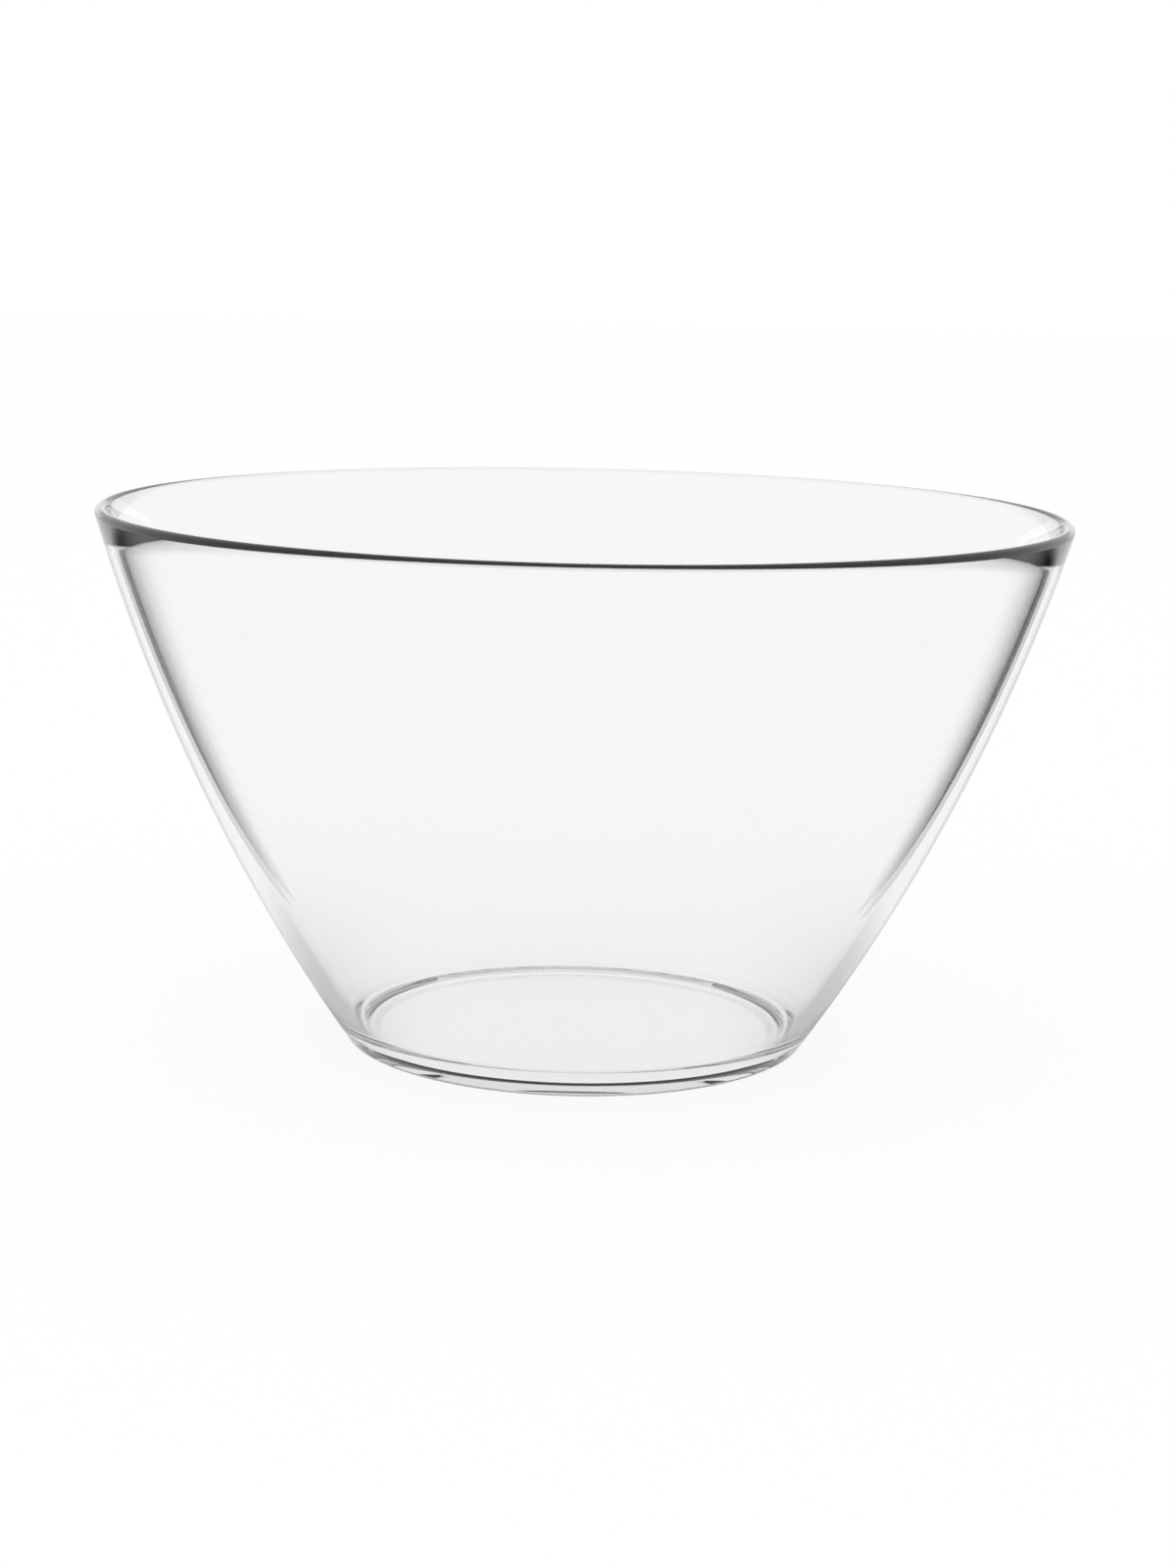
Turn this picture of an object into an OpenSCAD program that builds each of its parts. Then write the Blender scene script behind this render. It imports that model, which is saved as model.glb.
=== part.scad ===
// Conical salad bowl of clear glass: one pressed piece, true to the lathe, with no separate parts.
// Its profile is drawn in the half plane of radius and height, then turned about the Z axis.
// The origin is the middle of the ring that the bowl stands on, and Z points up.

/* [Bowl] */
// Outside diameter across the lip
rim_d = 280; // [220:1:340]
// Height from the table to the top of the lip
bowl_h = 156.5; // [110:0.5:200]
// Diameter where the curve of the outer wall, carried on down, meets the table
foot_d = 134.4; // [110:0.2:170]
// Radius of the wall's gentle outward bow, seen from the side
bow_r = 546; // [300:2:2000]

/* [Lip] */
// Radius of the round at the very top
lip_r = 1.7; // [0.8:0.1:2]
// Height over which the inside of the wall leans out to that round
flare_h = 9.6; // [5:0.2:14]
// Thickness of the wall just under that lean
lip_wall = 4.2; // [3.6:0.1:6]

/* [Glass] */
// Thickness of the wall at its foot, square to the wall
foot_wall = 4.8; // [3:0.1:9]
// Thickness of the floor at its middle
floor_t = 4.4; // [3:0.1:9]

/* [Curves] */
// Radius of the inside curve from floor to wall
floor_curve_r = 14; // [4:0.5:25]
// Radius of the heel, from the wall round to the table
heel_r = 3; // [1:0.25:8]

/* [Underside] */
// Width of the flat ring that stands on the table
bearing_w = 6.5; // [2:0.5:15]
// Rise of the shallow hollow under the floor
hollow_h = 0.3; // [0.2:0.1:3]

/* [Hidden] */
$fn = 180;

// Points along a long wall curve and along a short round one
wall_steps = 32;
round_steps = 16;

// The circle that lies a from p and b from q, with its centre on the bowl's axis side
function bow_centre(p, a, q, b) =
    let (d = norm(q - p), along = (a * a - b * b + d * d) / (2 * d), u = (q - p) / d)
    p + along * u + sqrt(a * a - along * along) * [-u[1], u[0]];

// The direction from one point to another, in degrees
function bearing(from, to) = atan2(to[1] - from[1], to[0] - from[0]);

// The points of an arc from one direction to another
function arc(c, r, from, to, steps) =
    [for (i = [0 : steps]) let (a = from + (to - from) * i / steps) c + r * [cos(a), sin(a)]];

// Top of the lip
lip_c = [rim_d / 2 - lip_r, bowl_h - lip_r];

// Outer wall: one arc through the foot that runs into the top of the lip
foot = [foot_d / 2, 0];
outer_c = bow_centre(foot, bow_r, lip_c, bow_r - lip_r);

// Inner wall: an arc of the same bow, one wall inside the outer one, up to where the lean starts
inner_foot = outer_c + (foot - outer_c) * (bow_r - foot_wall) / bow_r;
flare_z = bowl_h - flare_h - outer_c[1];
flare = outer_c + [sqrt(bow_r * bow_r - flare_z * flare_z), flare_z] * (bow_r - lip_wall) / bow_r;
inner_c = bow_centre(inner_foot, bow_r, flare, bow_r);

// Lean of the inside: a round that leaves the inner wall and runs into the top of the lip
inward = (inner_c - flare) / bow_r;
reach = flare - lip_c;
flare_r = (reach * reach - lip_r * lip_r) / (2 * (inward * reach - lip_r));
flare_c = flare - inward * flare_r;

// Heel: a round that touches the table and the outer wall
heel_z = heel_r - outer_c[1];
heel_c = [outer_c[0] + sqrt(pow(bow_r - heel_r, 2) - heel_z * heel_z), heel_r];

// Floor curve: a round that touches the floor and the inner wall
floor_z = hollow_h + floor_t;
curve_z = floor_z + floor_curve_r - inner_c[1];
curve_c = [inner_c[0] + sqrt(pow(bow_r - floor_curve_r, 2) - curve_z * curve_z), floor_z + floor_curve_r];

// Hollow under the floor: a shallow dome inside the bearing ring
hollow_r = heel_c[0] - bearing_w;
dome_r = (hollow_r * hollow_r + hollow_h * hollow_h) / (2 * hollow_h);
dome_c = [0, hollow_h - dome_r];

underside = arc(dome_c, dome_r, 90, bearing(dome_c, [hollow_r, 0]), round_steps);
heel = arc(heel_c, heel_r, -90, bearing(outer_c, heel_c), round_steps);
outer_wall = arc(outer_c, bow_r, bearing(outer_c, heel_c), bearing(outer_c, lip_c), wall_steps);
lip = arc(lip_c, lip_r, bearing(outer_c, lip_c), bearing(flare_c, lip_c), round_steps);
lip_lean = arc(flare_c, flare_r, bearing(flare_c, lip_c), bearing(flare_c, flare), round_steps);
inner_wall = arc(inner_c, bow_r, bearing(inner_c, flare), bearing(inner_c, curve_c), wall_steps);
floor_curve = arc(curve_c, floor_curve_r, bearing(inner_c, curve_c), -90, round_steps);

// The bowl: each stretch of the profile starts where the one before it ends
module glass_bowl() {
    color([0.90, 0.94, 0.94, 0.40])
        rotate_extrude()
            polygon(concat(underside, heel, outer_wall, lip, lip_lean, inner_wall, floor_curve, [[0, floor_z]]));
}

glass_bowl();
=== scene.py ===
from math import atan2, cos, pi, radians, sin, sqrt, tau

import bpy
from mathutils import Matrix, Vector


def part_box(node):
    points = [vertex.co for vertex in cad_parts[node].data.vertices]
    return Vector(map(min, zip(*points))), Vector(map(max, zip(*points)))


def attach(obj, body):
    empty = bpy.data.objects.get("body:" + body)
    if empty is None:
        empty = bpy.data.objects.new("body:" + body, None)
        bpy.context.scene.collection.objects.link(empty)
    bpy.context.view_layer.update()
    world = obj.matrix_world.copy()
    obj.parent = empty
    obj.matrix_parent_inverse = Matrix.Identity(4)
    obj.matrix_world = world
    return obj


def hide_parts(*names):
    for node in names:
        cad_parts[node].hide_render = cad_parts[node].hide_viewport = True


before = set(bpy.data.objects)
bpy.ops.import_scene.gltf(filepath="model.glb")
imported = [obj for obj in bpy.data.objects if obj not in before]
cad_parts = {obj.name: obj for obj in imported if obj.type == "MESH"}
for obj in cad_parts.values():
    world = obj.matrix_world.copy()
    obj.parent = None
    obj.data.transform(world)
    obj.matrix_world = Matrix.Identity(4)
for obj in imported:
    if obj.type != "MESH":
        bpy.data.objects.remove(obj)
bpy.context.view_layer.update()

mm = 0.001
lowCorner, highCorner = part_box("glass_bowl")

# sizes of the bowl in millimetres; the rim and the height come from the frame
bowl = {
    "rimD": (highCorner.x - lowCorner.x) / mm,
    "height": (highCorner.z - lowCorner.z) / mm,
    "footD": 134.4,         # where the outer curve meets the table
    "bowR": 546.0,          # outward bow of the wall
    "lipR": 1.7,            # round at the very top
    "flareH": 9.6,          # height over which the inside leans out to the lip
    "lipWall": 4.2,         # wall under that lean
    "footWall": 4.8,
    "floorT": 4.4,
    "floorCurveR": 14.0,    # from floor to wall
    "heelR": 3.0,           # from wall to table
    "bearingW": 6.5,        # flat ring that it stands on
    "hollowH": 0.3,         # rise of the hollow inside that ring
    "segments": 320,        # facets round the axis
    "wallSteps": 48,        # rings up a wall
    "roundSteps": 24,       # rings on a small round
    "flatSteps": 12,        # rings across a flat
    "weld": 0.001,          # points closer than this become one
}


def bowCentre(p, a, q, b):          # of the circle that lies a from p and b from q
    d = (q - p).length
    along = (a * a - b * b + d * d) / (2 * d)
    u = (q - p) / d
    return p + along * u + sqrt(a * a - along * along) * Vector((-u.y, u.x))


def heading(start, end):
    return atan2(end.y - start.y, end.x - start.x)


def arc(centre, radius, start, end, steps):
    turns = [start + (end - start) * i / steps for i in range(steps + 1)]
    return [centre + radius * Vector((cos(t), sin(t))) for t in turns]


def line(start, end, steps):
    return [start.lerp(end, i / steps) for i in range(steps + 1)]


def bowlProfile(b):
    lipR, bowR = b["lipR"], b["bowR"]
    lip = Vector((b["rimD"] / 2 - lipR, b["height"] - lipR))
    foot = Vector((b["footD"] / 2, 0))
    outer = bowCentre(foot, bowR, lip, bowR - lipR)
    innerFoot = outer + (foot - outer) * (bowR - b["footWall"]) / bowR
    flareZ = b["height"] - b["flareH"] - outer.y
    flareOut = Vector((sqrt(bowR ** 2 - flareZ ** 2), flareZ)) / bowR
    flare = outer + flareOut * (bowR - b["lipWall"])
    inner = bowCentre(innerFoot, bowR, flare, bowR)
    inward = (inner - flare) / bowR
    reach = flare - lip
    leanR = (reach.length_squared - lipR ** 2) / (2 * (inward.dot(reach) - lipR))
    lean = flare - inward * leanR
    heelR = b["heelR"]
    heel = Vector((outer.x + sqrt((bowR - heelR) ** 2 - (heelR - outer.y) ** 2), heelR))
    floorZ = b["hollowH"] + b["floorT"]
    curveR = b["floorCurveR"]
    curveZ = floorZ + curveR
    curve = Vector((inner.x + sqrt((bowR - curveR) ** 2 - (curveZ - inner.y) ** 2), curveZ))
    hollowR = heel.x - b["bearingW"]
    domeR = (hollowR ** 2 + b["hollowH"] ** 2) / (2 * b["hollowH"])
    dome = Vector((0, b["hollowH"] - domeR))
    stretches = [
        arc(dome, domeR, pi / 2, heading(dome, Vector((hollowR, 0))), b["roundSteps"]),
        line(Vector((hollowR, 0)), Vector((heel.x, 0)), b["flatSteps"]),
        arc(heel, heelR, -pi / 2, heading(outer, heel), b["roundSteps"]),
        arc(outer, bowR, heading(outer, heel), heading(outer, lip), b["wallSteps"]),
        arc(lip, lipR, heading(outer, lip), heading(lean, lip), b["roundSteps"]),
        arc(lean, leanR, heading(lean, lip), heading(lean, flare), b["roundSteps"]),
        arc(inner, bowR, heading(inner, flare), heading(inner, curve), b["wallSteps"]),
        arc(curve, curveR, heading(inner, curve), -pi / 2, b["roundSteps"]),
        line(Vector((curve.x, floorZ)), Vector((0, floorZ)), b["flatSteps"]),
    ]
    points = stretches[0][:1]
    for stretch in stretches:
        points += stretch[1:]        # a stretch starts where the last one ended
    return points


glass = {
    "refraction": 1.52,
    "tint": (0.91, 0.916, 0.914, 1),
    "density": 20.0,        # how strongly the tint takes light
}


def clearGlass(g):
    material = bpy.data.materials.new("clearGlass")
    material.use_nodes = True
    nodes, links = material.node_tree.nodes, material.node_tree.links
    shader = nodes["Principled BSDF"]
    shader.inputs["Base Color"].default_value = (1, 1, 1, 1)
    shader.inputs["Transmission Weight"].default_value = 1.0
    shader.inputs["IOR"].default_value = g["refraction"]
    shader.inputs["Roughness"].default_value = 0.0
    body = nodes.new("ShaderNodeVolumeAbsorption")
    body.inputs["Color"].default_value = g["tint"]
    body.inputs["Density"].default_value = g["density"]
    links.new(body.outputs["Volume"], nodes["Material Output"].inputs["Volume"])
    return material


def addMaths(tree, operation, *values):
    node = tree.nodes.new("ShaderNodeMath")
    node.operation = operation
    for socket, value in zip(node.inputs, values):
        if isinstance(value, bpy.types.NodeSocket):
            tree.links.new(value, socket)
        else:
            socket.default_value = value
    return node.outputs[0]


def latheTree(material):
    tree = bpy.data.node_groups.new("latheBowl", "GeometryNodeTree")
    face = tree.interface
    face.new_socket("Profile", in_out="INPUT", socket_type="NodeSocketGeometry")
    segments = face.new_socket("Segments", in_out="INPUT", socket_type="NodeSocketInt")
    weld = face.new_socket("Weld Distance", in_out="INPUT", socket_type="NodeSocketFloat")
    face.new_socket("Bowl", in_out="OUTPUT", socket_type="NodeSocketGeometry")
    links = tree.links

    def add(kind, **settings):
        node = tree.nodes.new(kind)
        for name, value in settings.items():
            setattr(node, name, value)
        return node

    def maths(operation, *values):
        return addMaths(tree, operation, *values)

    # one row of the grid for each point of the profile, one column for each facet
    given = add("NodeGroupInput").outputs
    points = add("GeometryNodeCurveToPoints", mode="EVALUATED")
    links.new(given["Profile"], points.inputs["Curve"])
    count = add("GeometryNodeAttributeDomainSize", component="POINTCLOUD")
    links.new(points.outputs["Points"], count.inputs["Geometry"])
    across = maths("ADD", given["Segments"], 1)
    grid = add("GeometryNodeMeshGrid")
    links.new(count.outputs["Point Count"], grid.inputs["Vertices X"])
    links.new(across, grid.inputs["Vertices Y"])

    # each row is turned about the axis at its own radius and height
    index = add("GeometryNodeInputIndex").outputs[0]
    halfStep = 0.5          # keeps the division clear of rounding
    ring = maths("FLOOR", maths("DIVIDE", maths("ADD", index, halfStep), across))
    turn = maths("SUBTRACT", index, maths("MULTIPLY", ring, across))
    angle = maths("MULTIPLY", maths("DIVIDE", turn, given["Segments"]), tau)
    place = add("GeometryNodeInputPosition").outputs[0]
    sample = add("GeometryNodeSampleIndex", data_type="FLOAT_VECTOR", domain="POINT")
    links.new(points.outputs["Points"], sample.inputs["Geometry"])
    links.new(place, sample.inputs["Value"])
    links.new(ring, sample.inputs["Index"])
    split = add("ShaderNodeSeparateXYZ")
    links.new(sample.outputs[0], split.inputs[0])
    spot = add("ShaderNodeCombineXYZ")
    links.new(maths("MULTIPLY", split.outputs["X"], maths("COSINE", angle)), spot.inputs["X"])
    links.new(maths("MULTIPLY", split.outputs["X"], maths("SINE", angle)), spot.inputs["Y"])
    links.new(split.outputs["Z"], spot.inputs["Z"])
    move = add("GeometryNodeSetPosition")
    links.new(grid.outputs["Mesh"], move.inputs["Geometry"])
    links.new(spot.outputs[0], move.inputs["Position"])

    # the seam and the poles are closed, and the faces point outwards
    merge = add("GeometryNodeMergeByDistance")
    links.new(move.outputs[0], merge.inputs["Geometry"])
    links.new(given["Weld Distance"], merge.inputs["Distance"])
    flip = add("GeometryNodeFlipFaces")
    links.new(merge.outputs[0], flip.inputs[0])
    smooth = add("GeometryNodeSetShadeSmooth")
    links.new(flip.outputs[0], smooth.inputs[0])
    real = add("GeometryNodeRealizeInstances")
    links.new(smooth.outputs[0], real.inputs[0])
    paint = add("GeometryNodeSetMaterial")
    paint.inputs["Material"].default_value = material
    links.new(real.outputs[0], paint.inputs["Geometry"])
    links.new(paint.outputs[0], add("NodeGroupOutput").inputs[0])
    return tree, segments.identifier, weld.identifier


def turnBowl(b, material):
    outline = bpy.data.curves.new("bowlProfile", "CURVE")
    outline.dimensions = "3D"
    spline = outline.splines.new("POLY")
    profile = bowlProfile(b)
    spline.points.add(len(profile) - 1)
    for point, spot in zip(spline.points, profile):
        point.co = (spot.x * mm, 0, spot.y * mm, 1)
    holder = bpy.data.objects.new("bowlProfile", outline)
    bpy.context.collection.objects.link(holder)
    tree, segments, weld = latheTree(material)
    modifier = holder.modifiers.new("lathe", "NODES")
    modifier.node_group = tree
    modifier[segments] = b["segments"]
    modifier[weld] = b["weld"] * mm
    bpy.context.view_layer.update()
    turned = holder.evaluated_get(bpy.context.evaluated_depsgraph_get())
    mesh = bpy.data.meshes.new_from_object(turned)
    bpy.data.objects.remove(holder)
    piece = bpy.data.objects.new("glassBowl", mesh)
    bpy.context.collection.objects.link(piece)
    return piece


glassBowl = turnBowl(bowl, clearGlass(glass))
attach(glassBowl, "root")
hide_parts("glass_bowl")
print("bowl turned:", len(glassBowl.data.vertices), "points,", len(glassBowl.data.polygons), "faces")

# the view of the photograph, fitted to the bowl's outline
view = {
    "place": (0, -0.85, 0.2388),    # metres
    "pitch": 10.884,        # degrees down
    "roll": 1.239,          # degrees
    "focalPixels": 3002.6,
    "axisPixel": 591.1,     # where the lens axis meets the picture, from its left edge
    "frame": (1200, 1600),
    "sensor": 36,           # millimetres along the frame's long side
}


def makeCamera(v):
    data = bpy.data.cameras.new("camera")
    data.sensor_width = v["sensor"]
    data.lens = v["sensor"] * v["focalPixels"] / max(v["frame"])
    data.shift_x = (v["frame"][0] / 2 - v["axisPixel"]) / max(v["frame"])
    camera = bpy.data.objects.new("camera", data)
    upright = 90            # degrees from looking straight down to level
    pitch = Matrix.Rotation(radians(upright - v["pitch"]), 4, "X")
    roll = Matrix.Rotation(radians(v["roll"]), 4, "Z")
    camera.matrix_world = Matrix.Translation(v["place"]) @ (pitch @ roll)
    bpy.context.collection.objects.link(camera)
    bpy.context.scene.camera = camera
    return camera


camera = makeCamera(view)
print("camera set, lens", round(camera.data.lens, 2))

studio = {
    "floorDrop": 0.0002,    # the glass stands just clear of the table
    "floorHalf": 6.0,
    "floorColour": 0.18,
    "floorGlow": 0.778,     # lifts the table to a pale level, which the glass shows
    "floorWhite": 1.18,     # and to white for the camera
    "whiteShare": 0.25,
    "skyLight": 0.86,
    "skyWhite": 1.0,        # the sky as the camera sees it
    "backdrop": 0.94,       # the white behind the bowl, as the glass shows it
    "ceiling": 0.9,         # what the glass sees high up
    "ceilingFrom": 0.30,    # sine of the elevation where the white ends
    "ceilingTo": 0.7,
}
oneBounce = 0.5             # a count over this has at least one bounce


def emptyTree(owner):
    owner.use_nodes = True
    owner.node_tree.nodes.clear()
    return owner.node_tree


def addFade(tree, value, span, levels=(0.0, 1.0)):
    node = tree.nodes.new("ShaderNodeMapRange")
    node.interpolation_type = "SMOOTHSTEP"
    for name, number in zip(("From Min", "From Max", "To Min", "To Max"), (*span, *levels)):
        node.inputs[name].default_value = number
    tree.links.new(value, node.inputs["Value"])
    return node.outputs["Result"]


def seenDirectly(tree):
    path = tree.nodes.new("ShaderNodeLightPath").outputs
    looked = path["Is Camera Ray"]
    for name in ("Is Glossy Ray", "Is Transmission Ray"):
        looked = addMaths(tree, "MAXIMUM", looked, path[name])
    fresh = addMaths(tree, "LESS_THAN", path["Diffuse Depth"], oneBounce)   # hasn't met a matt surface
    return path, addMaths(tree, "MULTIPLY", looked, fresh)


def mixShaders(tree, share, first, second):
    mix = tree.nodes.new("ShaderNodeMixShader")
    for socket, value in zip(mix.inputs, (share, first.outputs[0], second.outputs[0])):
        tree.links.new(value, socket)
    tree.links.new(mix.outputs[0], tree.nodes.new("ShaderNodeOutputMaterial").inputs["Surface"])


def layFlat(name, half, height, material):
    mesh = bpy.data.meshes.new(name)
    corners = [(-half, -half, height), (half, -half, height), (half, half, height), (-half, half, height)]
    mesh.from_pydata(corners, [], [(0, 1, 2, 3)])
    mesh.materials.append(material)
    sheet = bpy.data.objects.new(name, mesh)
    bpy.context.collection.objects.link(sheet)
    return sheet


def makeFloor(s):
    material = bpy.data.materials.new("paleTable")
    tree = emptyTree(material)
    nodes, links = tree.nodes, tree.links
    path, looked = seenDirectly(tree)
    paint = nodes.new("ShaderNodeBsdfDiffuse")
    paint.inputs["Color"].default_value = (s["floorColour"],) * 3 + (1,)
    glow = nodes.new("ShaderNodeEmission")
    links.new(addMaths(tree, "MULTIPLY", looked, s["floorGlow"]), glow.inputs["Strength"])
    lit = nodes.new("ShaderNodeAddShader")
    links.new(paint.outputs[0], lit.inputs[0])
    links.new(glow.outputs[0], lit.inputs[1])
    white = nodes.new("ShaderNodeEmission")
    white.inputs["Strength"].default_value = s["floorWhite"]
    mixShaders(tree, addMaths(tree, "MULTIPLY", path["Is Camera Ray"], s["whiteShare"]), lit, white)
    floor = layFlat("tableTop", s["floorHalf"], -s["floorDrop"], material)


def makeSky(s):
    world = bpy.data.worlds.new("studio")
    bpy.context.scene.world = world
    tree = emptyTree(world)
    nodes, links = tree.nodes, tree.links
    split = nodes.new("ShaderNodeSeparateXYZ")
    links.new(nodes.new("ShaderNodeTexCoord").outputs["Generated"], split.inputs[0])
    rise = (s["ceilingFrom"], s["ceilingTo"])
    seen = addFade(tree, split.outputs["Z"], rise, (s["backdrop"], s["ceiling"]))
    path, looked = seenDirectly(tree)
    lit = nodes.new("ShaderNodeMix")
    links.new(looked, lit.inputs["Factor"])
    lit.inputs["A"].default_value = s["skyLight"]
    links.new(seen, lit.inputs["B"])
    plain = nodes.new("ShaderNodeMix")
    links.new(path["Is Camera Ray"], plain.inputs["Factor"])
    links.new(lit.outputs["Result"], plain.inputs["A"])
    plain.inputs["B"].default_value = s["skyWhite"]
    shade = nodes.new("ShaderNodeBackground")
    shade.inputs["Color"].default_value = (1, 1, 1, 1)
    links.new(plain.outputs["Result"], shade.inputs["Strength"])
    links.new(shade.outputs[0], nodes.new("ShaderNodeOutputWorld").inputs["Surface"])


# a sheet just over the table that carries painted darkness, which shows only where the glass mirrors it:
# a soft-edged black patch on the table to either side, a painted dark reflection standing in for a black
# card, and a painted shadow on the table close to the foot
paintedDark = {
    "reach": 1.0,           # half the width and depth of the sheet that carries them
    "drop": 0.0001,         # between the glass and the table
    "black": 0.01,
    "tip": (0.13, 0.0),     # where a painted dark patch starts: out from the axis, and behind it
    "front": (24, 52),      # degrees round from the side, from clear to black
    "rear": (58.6, 60.2),   # from black to clear
    "end": (0.52, 0.70),    # distance from the tip, from black to clear
    "left": 0.9,            # the painted dark patch on the left is greyer
    "shade": 0.38,          # of the table close to the foot on either side
    "shadeFrom": (0.067, 0.072),  # out from the axis, from clear to shaded
    "shadeTo": (0.075, 0.17),     # and from shaded to clear
    "shadeTurn": (60, 25),  # degrees round from the side, from clear to shaded
}


def makePaintedDark(c):
    # painted dark reflections and a painted shadow, seen only in the glass
    material = bpy.data.materials.new("paintedReflectionAndShade")
    tree = emptyTree(material)
    nodes = tree.nodes

    def maths(operation, *values):
        return addMaths(tree, operation, *values)

    def fade(value, span):
        return addFade(tree, value, span)

    def fadeTurn(value, span):
        return fade(value, [radians(turn) for turn in span])

    def distance(a, b):
        return maths("SQRT", maths("ADD", maths("MULTIPLY", a, a), maths("MULTIPLY", b, b)))

    spot = nodes.new("ShaderNodeSeparateXYZ")
    tree.links.new(nodes.new("ShaderNodeTexCoord").outputs["Object"], spot.inputs[0])
    out, back = maths("ABSOLUTE", spot.outputs["X"]), spot.outputs["Y"]

    # the painted dark reflections, as a sector from each tip
    tipOut, tipBack = maths("SUBTRACT", out, c["tip"][0]), maths("SUBTRACT", back, c["tip"][1])
    turn = maths("ARCTAN2", tipBack, tipOut)
    darkReflection = maths("SUBTRACT", fadeTurn(turn, c["front"]), fadeTurn(turn, c["rear"]))
    darkReflection = maths("MULTIPLY", darkReflection, maths("SUBTRACT", 1, fade(distance(tipOut, tipBack), c["end"])))
    onLeft = maths("LESS_THAN", spot.outputs["X"], 0)
    darkReflection = maths("MULTIPLY", darkReflection, maths("MULTIPLY_ADD", onLeft, c["left"] - 1, 1))

    # the shade close to the foot
    away = distance(out, back)
    near = maths("SUBTRACT", fade(away, c["shadeFrom"]), fade(away, c["shadeTo"]))
    near = maths("MULTIPLY", near, c["shade"])
    aside = fadeTurn(maths("ARCTAN2", maths("ABSOLUTE", back), out), c["shadeTurn"])
    dark = maths("MAXIMUM", darkReflection, maths("MULTIPLY", near, aside))

    # the painted darkness shows only in rays that the glass has mirrored
    bounced = nodes.new("ShaderNodeLightPath").outputs["Glossy Depth"]
    dark = maths("MULTIPLY", dark, maths("GREATER_THAN", bounced, oneBounce))
    clear = nodes.new("ShaderNodeBsdfTransparent")
    black = nodes.new("ShaderNodeBsdfDiffuse")
    black.inputs["Color"].default_value = (c["black"],) * 3 + (1,)
    mixShaders(tree, dark, clear, black)
    # the sheet of painted darkness is hidden from the camera, from matt surfaces and from shadows
    sheet = layFlat("paintedDarkSheet", c["reach"], -c["drop"], material)
    sheet.visible_camera = sheet.visible_diffuse = sheet.visible_shadow = False


makeFloor(studio)
makeSky(studio)
makePaintedDark(paintedDark)

# places and sizes in metres, power in watts
topBox = {
    "place": (-0.3, -0.3, 1.5),
    "aim": (0, 0, 0),
    "size": (1.0, 1.0),
    "power": 1.5,
    "mirrored": False,      # lights matt surfaces
}
backBox = {
    "place": (0, 2.5, 0.32),
    "aim": (0, 0, 0.15),
    "size": (3.0, 0.4),
    "power": 1.2,
    "mirrored": True,       # only draws glints in the glass
}


def makeSoftBox(name, box):
    data = bpy.data.lights.new(name, "AREA")
    data.shape = "RECTANGLE"
    data.size, data.size_y = box["size"]
    data.energy = box["power"]
    lamp = bpy.data.objects.new(name, data)
    lamp.location = box["place"]
    look = Vector(box["aim"]) - Vector(box["place"])
    lamp.rotation_euler = look.to_track_quat("-Z", "Y").to_euler()
    lamp.visible_transmission = False
    lamp.visible_glossy = box["mirrored"]
    lamp.visible_diffuse = not box["mirrored"]
    bpy.context.collection.objects.link(lamp)


makeSoftBox("topBox", topBox)
makeSoftBox("backBox", backBox)
print("studio set")

bounces = {
    "all": 48,
    "glossy": 14,           # light that is piped further round the lip is lost
}
scene = bpy.context.scene
scene.view_settings.view_transform = "Standard"
scene.cycles.max_bounces = bounces["all"]
scene.cycles.transmission_bounces = bounces["all"]
scene.cycles.glossy_bounces = bounces["glossy"]

bpy.context.view_layer.update()
